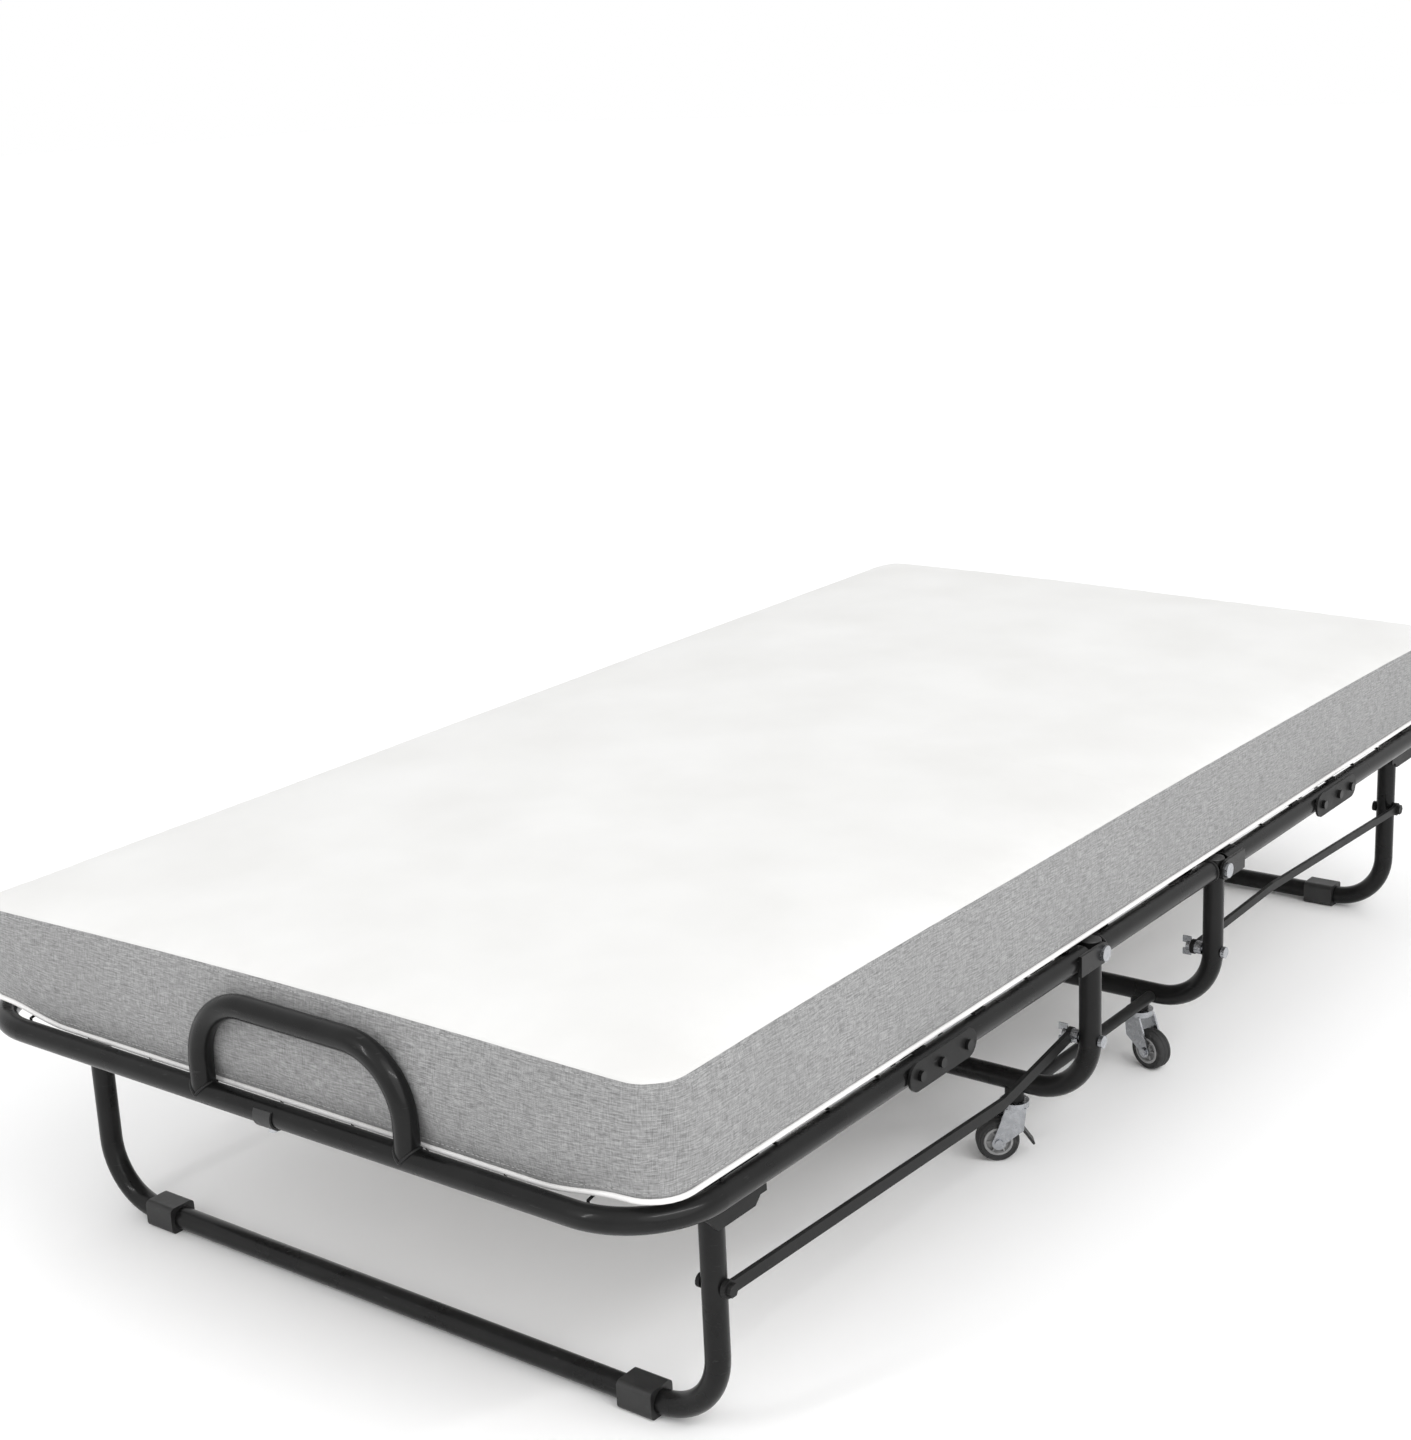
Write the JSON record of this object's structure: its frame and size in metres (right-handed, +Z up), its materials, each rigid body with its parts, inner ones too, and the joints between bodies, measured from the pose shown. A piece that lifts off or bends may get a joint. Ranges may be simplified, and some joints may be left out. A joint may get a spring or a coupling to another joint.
{
  "type": "folding cot",
  "caption": "Folding bed on casters: two wire-deck halves with a padded mattress hinge upright from a short tubular chassis.",
  "frame": {"origin": "on the floor under the middle of the bed", "axes": "+X along the bed towards the head end, +Y across the bed, +Z up"},
  "size_m": [1.8882, 0.987, 0.4099],
  "materials": {
    "black_tube": "gloss black powder coat",
    "black_fittings": "satin black powder coat",
    "zinc": "bright zinc plate",
    "wire": "satin black coated wire",
    "black_plastic": "matte",
    "tyre_rubber": "matte",
    "hub_plastic": "satin grey",
    "mattress_border": "grey melange weave",
    "mattress_top": "white knit",
    "mattress_piping": "white tape",
    "mattress_bottom": "off-white non-woven"
  },
  "bodies": {
    "chassis": {"u_leg_foot": "black_tube", "u_leg_head": "black_tube", "chassis_rails": "black_tube", "chassis_cross_tubes": "black_tube", "tie_bars": "black_fittings", "fold_bolts": "zinc", "link_pivot_pins": "zinc", "caster_sockets": "black_fittings", "mattress_middle": "mattress_border", "mattress_bend_foot": "mattress_border", "mattress_bend_head": "mattress_border"},
    "half_foot": {"end_loop_foot": "black_tube", "inner_rails_foot": "black_tube", "splice_plates_foot": "black_fittings", "splice_spigots_foot": "zinc", "splice_bolts_foot": "black_tube", "cross_straps_foot": "black_fittings", "wire_deck_foot": "wire", "leg_brackets_foot": "black_fittings", "leg_pivot_bolts_foot": "black_fittings", "mattress_foot": "mattress_border", "handle": "black_tube", "strap_clip": "black_plastic", "clip_rivet": "zinc"},
    "end_leg_foot": {"end_leg_foot": "black_tube", "leg_feet_foot": "black_plastic", "leg_link_pin_foot": "black_fittings"},
    "link_rod_foot": {"link_rod_foot": "black_fittings"},
    "half_head": {"end_loop_head": "black_tube", "inner_rails_head": "black_tube", "splice_plates_head": "black_fittings", "splice_spigots_head": "zinc", "splice_bolts_head": "black_tube", "cross_straps_head": "black_fittings", "wire_deck_head": "wire", "leg_brackets_head": "black_fittings", "leg_pivot_bolts_head": "black_fittings", "mattress_head": "mattress_border"},
    "end_leg_head": {"end_leg_head": "black_tube", "leg_feet_head": "black_plastic", "leg_link_pin_head": "black_fittings"},
    "link_rod_head": {"link_rod_head": "black_fittings"},
    "swivel_foot_right": {"caster_fork_foot_right": "zinc", "caster_axle_foot_right": "zinc"},
    "wheel_foot_right": {"caster_hub_foot_right": "hub_plastic", "caster_tyre_foot_right": "tyre_rubber"},
    "brake_foot_right": {"brake_pedal_foot_right": "black_plastic"},
    "swivel_head_right": {"caster_fork_head_right": "zinc", "caster_axle_head_right": "zinc"},
    "wheel_head_right": {"caster_hub_head_right": "hub_plastic", "caster_tyre_head_right": "tyre_rubber"},
    "swivel_foot_left": {"caster_fork_foot_left": "zinc", "caster_axle_foot_left": "zinc"},
    "wheel_foot_left": {"caster_hub_foot_left": "hub_plastic", "caster_tyre_foot_left": "tyre_rubber"},
    "brake_foot_left": {"brake_pedal_foot_left": "black_plastic"},
    "swivel_head_left": {"caster_fork_head_left": "zinc", "caster_axle_head_left": "zinc"},
    "wheel_head_left": {"caster_hub_head_left": "hub_plastic", "caster_tyre_head_left": "tyre_rubber"}
  },
  "joints": [
    {"name": "fold_foot", "type": "hinge", "parent": "chassis", "child": "half_foot", "pos_m": [-0.155, 0, 0.276], "axis": [0, 1, 0], "range_deg": [0, 90], "deforming": ["mattress_bend_foot"]},
    {"name": "leg_fold_foot", "type": "hinge", "parent": "half_foot", "child": "end_leg_foot", "pos_m": [-0.8, 0, 0.266], "axis": [0, 1, 0], "range_deg": [-90, 0]},
    {"name": "link_swing_foot", "type": "hinge", "parent": "chassis", "child": "link_rod_foot", "pos_m": [-0.155, -0.4475, 0.17], "axis": [0, 1, 0], "range_deg": [0, 90]},
    {"name": "fold_head", "type": "hinge", "parent": "chassis", "child": "half_head", "pos_m": [0.155, 0, 0.276], "axis": [0, -1, 0], "range_deg": [0, 90], "deforming": ["mattress_bend_head"]},
    {"name": "leg_fold_head", "type": "hinge", "parent": "half_head", "child": "end_leg_head", "pos_m": [0.8, 0, 0.266], "axis": [0, -1, 0], "range_deg": [-90, 0]},
    {"name": "link_swing_head", "type": "hinge", "parent": "chassis", "child": "link_rod_head", "pos_m": [0.155, -0.4475, 0.17], "axis": [0, -1, 0], "range_deg": [0, 90]},
    {"name": "caster_swivel_foot_right", "type": "hinge", "parent": "chassis", "child": "swivel_foot_right", "pos_m": [-0.155, -0.375, 0.07], "axis": [0, 0, 1], "continuous": true},
    {"name": "wheel_spin_foot_right", "type": "hinge", "parent": "swivel_foot_right", "child": "wheel_foot_right", "pos_m": [-0.16731, -0.35924, 0.025], "axis": [-0.788, -0.6157, 0], "continuous": true},
    {"name": "brake_press_foot_right", "type": "hinge", "parent": "swivel_foot_right", "child": "brake_foot_right", "pos_m": [-0.15192, -0.37894, 0.043], "axis": [0.788, 0.6157, 0], "range_deg": [0, 8]},
    {"name": "caster_swivel_head_right", "type": "hinge", "parent": "chassis", "child": "swivel_head_right", "pos_m": [0.155, -0.375, 0.07], "axis": [0, 0, 1], "continuous": true},
    {"name": "wheel_spin_head_right", "type": "hinge", "parent": "swivel_head_right", "child": "wheel_head_right", "pos_m": [0.14982, -0.39432, 0.025], "axis": [0.9659, -0.2588, 0], "continuous": true},
    {"name": "caster_swivel_foot_left", "type": "hinge", "parent": "chassis", "child": "swivel_foot_left", "pos_m": [-0.155, 0.375, 0.07], "axis": [0, 0, 1], "continuous": true},
    {"name": "wheel_spin_foot_left", "type": "hinge", "parent": "swivel_foot_left", "child": "wheel_foot_left", "pos_m": [-0.17232, 0.385, 0.025], "axis": [-0.5, -0.866, 0], "continuous": true},
    {"name": "brake_press_foot_left", "type": "hinge", "parent": "swivel_foot_left", "child": "brake_foot_left", "pos_m": [-0.15067, 0.3725, 0.043], "axis": [0.5, 0.866, 0], "range_deg": [0, 8]},
    {"name": "caster_swivel_head_left", "type": "hinge", "parent": "chassis", "child": "swivel_head_left", "pos_m": [0.155, 0.375, 0.07], "axis": [0, 0, 1], "continuous": true},
    {"name": "wheel_spin_head_left", "type": "hinge", "parent": "swivel_head_left", "child": "wheel_head_left", "pos_m": [0.17232, 0.365, 0.025], "axis": [0.5, 0.866, 0], "continuous": true}
  ],
  "couplings": [
    {"joint": "leg_fold_foot", "follows": "fold_foot", "ratio": -1},
    {"joint": "link_swing_foot", "follows": "fold_foot", "ratio": 1},
    {"joint": "leg_fold_head", "follows": "fold_head", "ratio": -1},
    {"joint": "link_swing_head", "follows": "fold_head", "ratio": 1}
  ]
}
